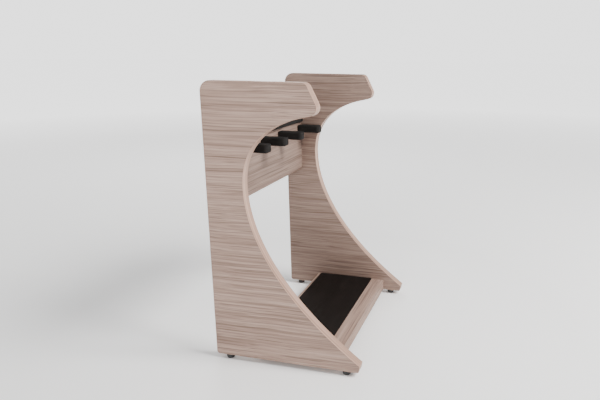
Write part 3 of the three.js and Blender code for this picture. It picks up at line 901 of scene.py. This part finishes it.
class RACK_OT_base_pad(bpy.types.Operator):
    """Rubber pad that the guitars stand on"""

    bl_idname = "guitar_rack.base_pad"
    bl_label = "Base pad"

    def execute(self, context):
        low, high = (np.array(corner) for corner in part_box("base_pad"))
        middle, half = (low + high) / 2, (high - low) / 2
        corner = settings().soft.pad_corner
        soft = 0.0012
        angle = np.linspace(0.0, math.pi / 2, 6)
        levels = np.concatenate([[low[2], low[2] + 0.0003], high[2] - soft * (1.0 - np.sin(angle))])
        insets = np.concatenate([[0.0006, 0.0], soft * (1.0 - np.cos(angle))])
        rings = [
            place(rounded_rectangle(half[0] - inset, half[1] - inset, corner, 8, 0.001), (0, 1),
                  (middle[0], middle[1], level))
            for level, inset in zip(levels, insets)
        ]
        hold = rounded_rectangle(half[0] - soft - 0.001, half[1] - soft - 0.001, corner, 8, 0.001)
        rings.append(place(hold, (0, 1), (middle[0], middle[1], high[2])))
        pad = surface("base_pad_finish", np.stack(rings))
        rubber = rubber_finish("pad_rubber", tuple(settings().colours.pad))
        dress(pad, rubber, "base_pad", "frame", "base_pad")
        return {"FINISHED"}


class RACK_OT_feet(bpy.types.Operator):
    """Moulded feet on their threaded studs"""

    bl_idname = "guitar_rack.feet"
    bl_label = "Feet"

    def execute(self, context):
        plastic = plastic_finish("foot_plastic", tuple(settings().colours.plastic))
        steel = metal_finish("stud_steel", (0.74, 0.74, 0.72), 0.3)
        for foot in FEET:
            dress(self.pad(foot), plastic, "foot_plastic", f"foot_{foot}", f"foot_pad_{foot}")
            dress(self.stud(foot), steel, "bright_steel", f"stud_{foot}", f"foot_stud_{foot}")
        zinc = metal_finish("insert_zinc", (0.62, 0.62, 0.60), 0.4)
        clothe([f"foot_insert_{foot}" for foot in FEET], zinc)
        return {"FINISHED"}

    def pad(self, foot):
        """Turned foot: a flat sole with a small chamfer, a flared side with two shallow
        grooves, a rounded shoulder and the stud's undercut socket."""
        low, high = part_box(f"foot_pad_{foot}")
        stud_low, stud_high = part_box(f"foot_stud_{foot}")
        radius, height = (high.x - low.x) / 2, high.z - low.z
        sole = radius - 2.5 * MM
        side = np.linspace(0.0, 1.0, 40)
        flare = radius - 0.3 * MM - 1.2 * MM * (1.0 - np.minimum(side / 0.45, 1.0)) ** 2
        groove = np.exp(-((side - 0.55) / 0.03) ** 2) + np.exp(-((side - 0.72) / 0.03) ** 2)
        wall = np.stack([flare + 0.3 * MM * np.minimum(side * 2, 1.0) - 0.35 * MM * groove,
                         1.4 * MM + side * (height - 2.6 * MM)], axis=1)
        chamfer = np.array([[sole - 0.4 * MM, 0.0], [sole, 0.05 * MM], [sole + 0.5 * MM, 0.3 * MM]])
        turn = np.linspace(0.0, math.pi / 2, 7)[1:]
        shoulder = np.stack([radius - 1.2 * MM * (1 - np.cos(turn)),
                             height - 1.2 * MM * (1 - np.sin(turn))], axis=1)
        bore, socket = 4.6 * MM, (stud_high.x - stud_low.x) / 2 + 0.3 * MM
        floor, ceiling = stud_low.z - 0.3 * MM, stud_low.z + 3.9 * MM
        inside = np.array([[bore + 0.3 * MM, height], [bore, height - 0.3 * MM], [bore, ceiling],
                           [socket, ceiling], [socket, floor]])
        profile = np.concatenate([chamfer, wall, shoulder, inside])
        centre = ((low.x + high.x) / 2, (low.y + high.y) / 2, low.z)
        return turned(f"foot_pad_{foot}_finish", profile, centre)

    def stud(self, foot):
        """Threaded rod on a disc: the radius drops by the thread's depth as a triangle
        wave of height / pitch - angle / full turn, and fades out at both ends."""
        s = settings().soft
        low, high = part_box(f"foot_stud_{foot}")
        disc, rod = (high.x - low.x) / 2, s.stud_radius
        neck = low.z + 3.7 * MM
        around = 32
        angle = np.linspace(0.0, 2 * math.pi, around, endpoint=False)
        height = np.arange(neck + 0.4 * MM, high.z - 0.6 * MM, s.thread_pitch / 8)
        phase = np.mod(height[:, None] / s.thread_pitch - angle[None, :] / (2 * math.pi), 1.0)
        wave = np.abs(2.0 * phase - 1.0)
        from_end = np.minimum(height - height[0], height[-1] - height)
        fade = np.clip(from_end / s.thread_pitch, 0.0, 1.0)
        thread = rod - s.thread_depth * np.clip(1.25 * wave - 0.125, 0.0, 1.0) * fade[:, None]
        rings_low = np.array([
            [disc - 0.3 * MM, low.z],
            [disc, low.z + 0.3 * MM],
            [disc, low.z + 3.3 * MM],
            [disc - 0.3 * MM, low.z + 3.6 * MM],
            [rod, low.z + 3.6 * MM],
            [rod, neck],
        ])
        rings_high = np.array([[rod - 0.2 * MM, high.z - 0.4 * MM], [rod - 0.7 * MM, high.z]])
        radius = np.concatenate([np.repeat(rings_low[:, :1], around, axis=1), thread,
                                 np.repeat(rings_high[:, :1], around, axis=1)])
        level = np.concatenate([rings_low[:, 1], height, rings_high[:, 1]])
        centre = ((low.x + high.x) / 2, (low.y + high.y) / 2)
        grid = np.stack([
            centre[0] + radius * np.cos(angle),
            centre[1] + radius * np.sin(angle),
            np.repeat(level[:, None], around, axis=1),
        ], axis=-1)
        return surface(f"foot_stud_{foot}_finish", grid)


class RACK_OT_fittings(bpy.types.Operator):
    """Cams, cam bolts and dowels that hold the boards"""

    bl_idname = "guitar_rack.fittings"
    bl_label = "Fittings"

    def execute(self, context):
        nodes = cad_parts
        bolts = [name for name in nodes if name.startswith("cam_bolt_")]
        cams = [name for name in nodes if name.startswith("cam_") and name not in bolts]
        dowels = [name for name in nodes if name.startswith("dowel_")]
        clothe(bolts, metal_finish("bolt_steel", (0.74, 0.74, 0.72), 0.3))
        clothe(cams, metal_finish("cam_zinc", (0.60, 0.60, 0.59), 0.42))
        clothe(dowels, wood("dowel_beech", 0, BEECH, 1.0, 5.0))
        return {"FINISHED"}


class RACK_PT_panel(bpy.types.Panel):
    """Lists the rack's steps and settings"""

    bl_idname = "RACK_PT_panel"
    bl_label = "Guitar Rack"
    bl_space_type = "VIEW_3D"
    bl_region_type = "UI"
    bl_category = "Guitar Rack"

    def draw(self, context):
        for step in STEPS:
            self.layout.operator(step.bl_idname)
        for group in (settings().outline, settings().soft, settings().colours):
            box = self.layout.box()
            for name in group.__annotations__:
                box.prop(group, name)


STEPS = (
    RACK_OT_stage,
    RACK_OT_side_panels,
    RACK_OT_edge_bands,
    RACK_OT_boards,
    RACK_OT_fingers,
    RACK_OT_neck_strip,
    RACK_OT_base_pad,
    RACK_OT_feet,
    RACK_OT_fittings,
)
CLASSES = (RackOutline, RackSoft, RackColours, RackSettings, *STEPS, RACK_PT_panel)


def register():
    for item in CLASSES:
        bpy.utils.register_class(item)
    bpy.types.Scene.guitar_rack = PointerProperty(type=RackSettings)


def unregister():
    del bpy.types.Scene.guitar_rack
    for item in reversed(CLASSES):
        bpy.utils.unregister_class(item)


def main():
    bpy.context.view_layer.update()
    register()
    for step in STEPS:
        group, name = step.bl_idname.split(".")
        getattr(getattr(bpy.ops, group), name)()


if __name__ == "__main__":
    main()
